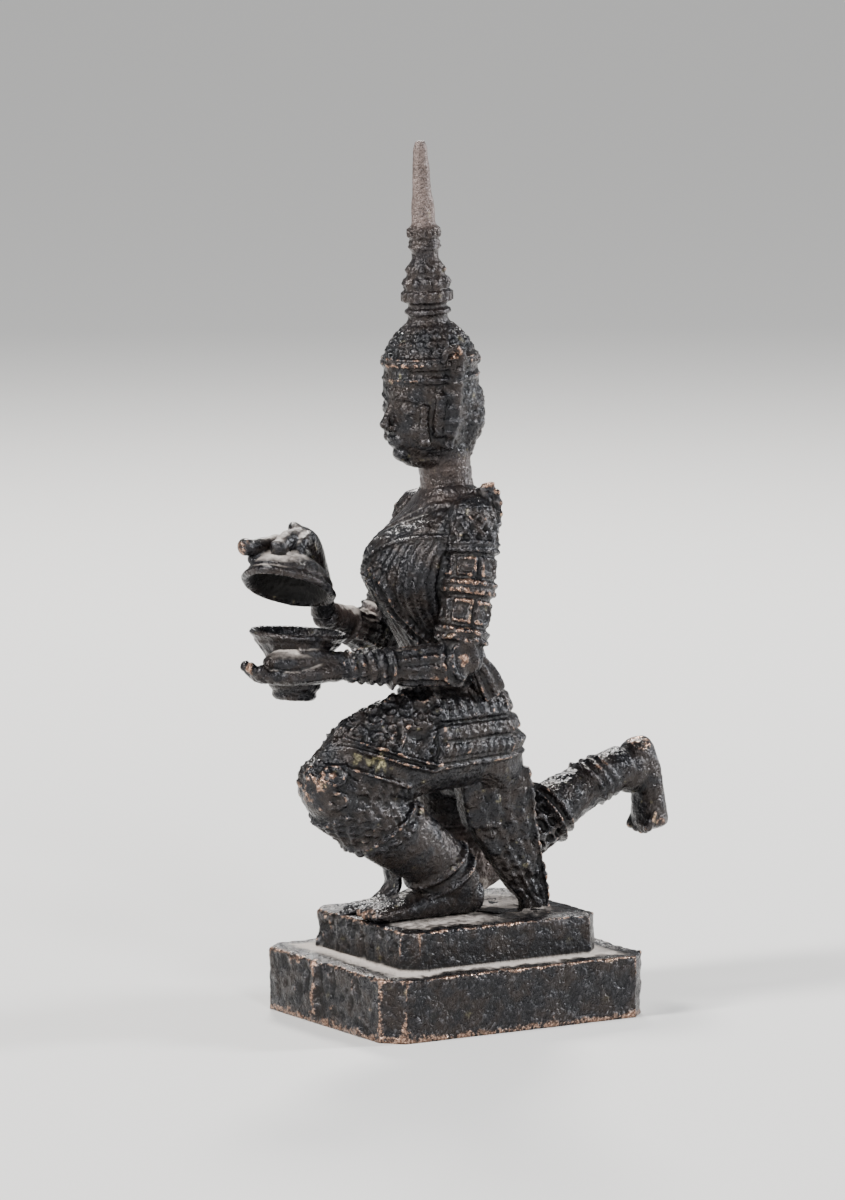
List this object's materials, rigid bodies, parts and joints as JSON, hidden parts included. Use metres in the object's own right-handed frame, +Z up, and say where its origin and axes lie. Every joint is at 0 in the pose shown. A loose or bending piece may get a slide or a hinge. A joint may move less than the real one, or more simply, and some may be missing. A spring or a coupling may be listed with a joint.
{
  "type": "kneeling deity statuette",
  "caption": "Cast bronze statuette of a kneeling crowned deity who lifts the lid of a footed bowl, on a stepped plinth with cut corners.",
  "frame": {"origin": "centre of the plinth's underside, on the surface that it stands on", "axes": "+Z up to the tip of the crown, -Y the way the figure faces, +X its left side"},
  "size_m": [0.0372, 0.0809, 0.1299],
  "materials": {
    "patinated_bronze": "near-black patina over cast bronze, satin, rubbed to copper brown on the high edges, with pale dust in the hollows"
  },
  "bodies": {
    "root": {"kneeling_deity": "patinated_bronze"}
  },
  "joints": []
}
